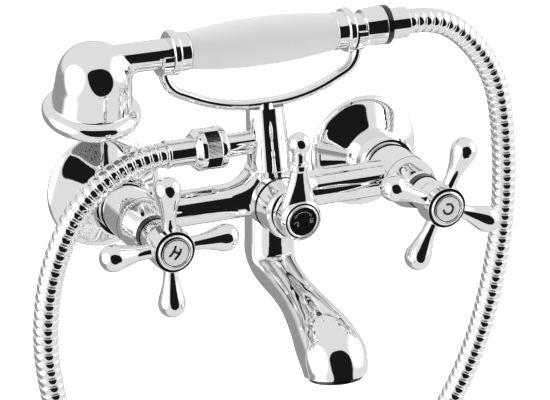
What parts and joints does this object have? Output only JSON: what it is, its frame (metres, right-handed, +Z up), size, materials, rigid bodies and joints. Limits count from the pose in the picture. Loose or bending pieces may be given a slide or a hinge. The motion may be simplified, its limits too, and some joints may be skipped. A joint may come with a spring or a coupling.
{
  "type": "bath mixer",
  "caption": "Wall-mounted bath mixer with cross handles, a diverter lever, a fixed spout and a cradled handset on a ribbed hose.",
  "frame": {"origin": "on the wall plane, midway between the axes of the two wall inlets", "axes": "+X along the crossbar to the cold side, +Y into the wall, +Z up"},
  "size_m": [0.2813, 0.1554, 0.4302],
  "materials": {
    "chrome": "polished chrome plate",
    "hose_metal": "wound chrome strip",
    "brass": "turned brass",
    "steel": "plain steel",
    "rubber": "matte rubber",
    "black_plastic": "gloss black",
    "grey_plastic": "matte grey",
    "valve_ceramic": "lapped ceramic",
    "white_ceramic": "glazed white ceramic"
  },
  "bodies": {
    "mixer": {"body_casting": "chrome", "spout": "chrome", "aerator_housing": "black_plastic", "aerator_insert": "grey_plastic", "aerator_gasket": "rubber", "hot_wall_connector": "chrome", "cold_wall_connector": "chrome", "hot_escutcheon": "chrome", "cold_escutcheon": "chrome", "hot_union_nut": "chrome", "cold_union_nut": "chrome", "union_washers": "rubber", "hot_valve_body": "brass", "cold_valve_body": "brass", "fixed_ceramic_discs": "valve_ceramic", "seat_gaskets": "rubber", "hot_bonnet": "chrome", "cold_bonnet": "chrome", "bonnet_rings": "black_plastic", "diverter_body": "brass", "diverter_bonnet": "chrome", "diverter_ring": "black_plastic", "cradle_post": "chrome", "cradle_bow": "chrome", "outlet_nipple": "chrome", "hose_nut": "chrome", "outlet_washer": "rubber", "outlet_ferrule": "chrome", "hose_outlet_run": "hose_metal", "hose_coil": "hose_metal", "hose_tie": "black_plastic"},
    "hot_cross": {"hot_handle": "chrome", "hot_spindle": "brass", "hot_turning_disc": "valve_ceramic", "hot_handle_screw": "steel", "hot_index_ring": "black_plastic", "hot_index_cap": "chrome"},
    "cold_cross": {"cold_handle": "chrome", "cold_spindle": "brass", "cold_turning_disc": "valve_ceramic", "cold_handle_screw": "steel", "cold_index_ring": "black_plastic", "cold_index_cap": "chrome"},
    "diverter": {"diverter_rotor": "brass", "diverter_lever": "chrome", "diverter_screw": "steel", "lever_bezel": "chrome", "lever_index": "black_plastic"},
    "handset": {"ceramic_grip": "white_ceramic", "head_ferrule": "chrome", "tail_ferrule": "chrome", "supply_tube": "brass", "shower_head": "chrome", "spray_plate": "grey_plastic", "spray_gasket": "rubber", "handset_nut": "chrome", "handset_washer": "rubber", "handset_ferrule": "chrome", "connector_ring": "black_plastic", "hose_handset_run": "hose_metal"}
  },
  "joints": [
    {"name": "hot_turn", "type": "hinge", "parent": "mixer", "child": "hot_cross", "pos_m": [-0.075, -0.06, 0.004], "axis": [0, -1, 0], "range_deg": [0, 90]},
    {"name": "cold_turn", "type": "hinge", "parent": "mixer", "child": "cold_cross", "pos_m": [0.075, -0.06, 0.004], "axis": [0, 1, 0], "range_deg": [0, 90]},
    {"name": "diverter_turn", "type": "hinge", "parent": "mixer", "child": "diverter", "pos_m": [0, -0.06, 0.004], "axis": [0, -1, 0], "range_deg": [-60, 60]},
    {"name": "handset_lift", "type": "slide", "parent": "mixer", "child": "handset", "axis": [0, 0, 1], "range_m": [0, 0.07], "deforming": ["hose_handset_run"]}
  ]
}
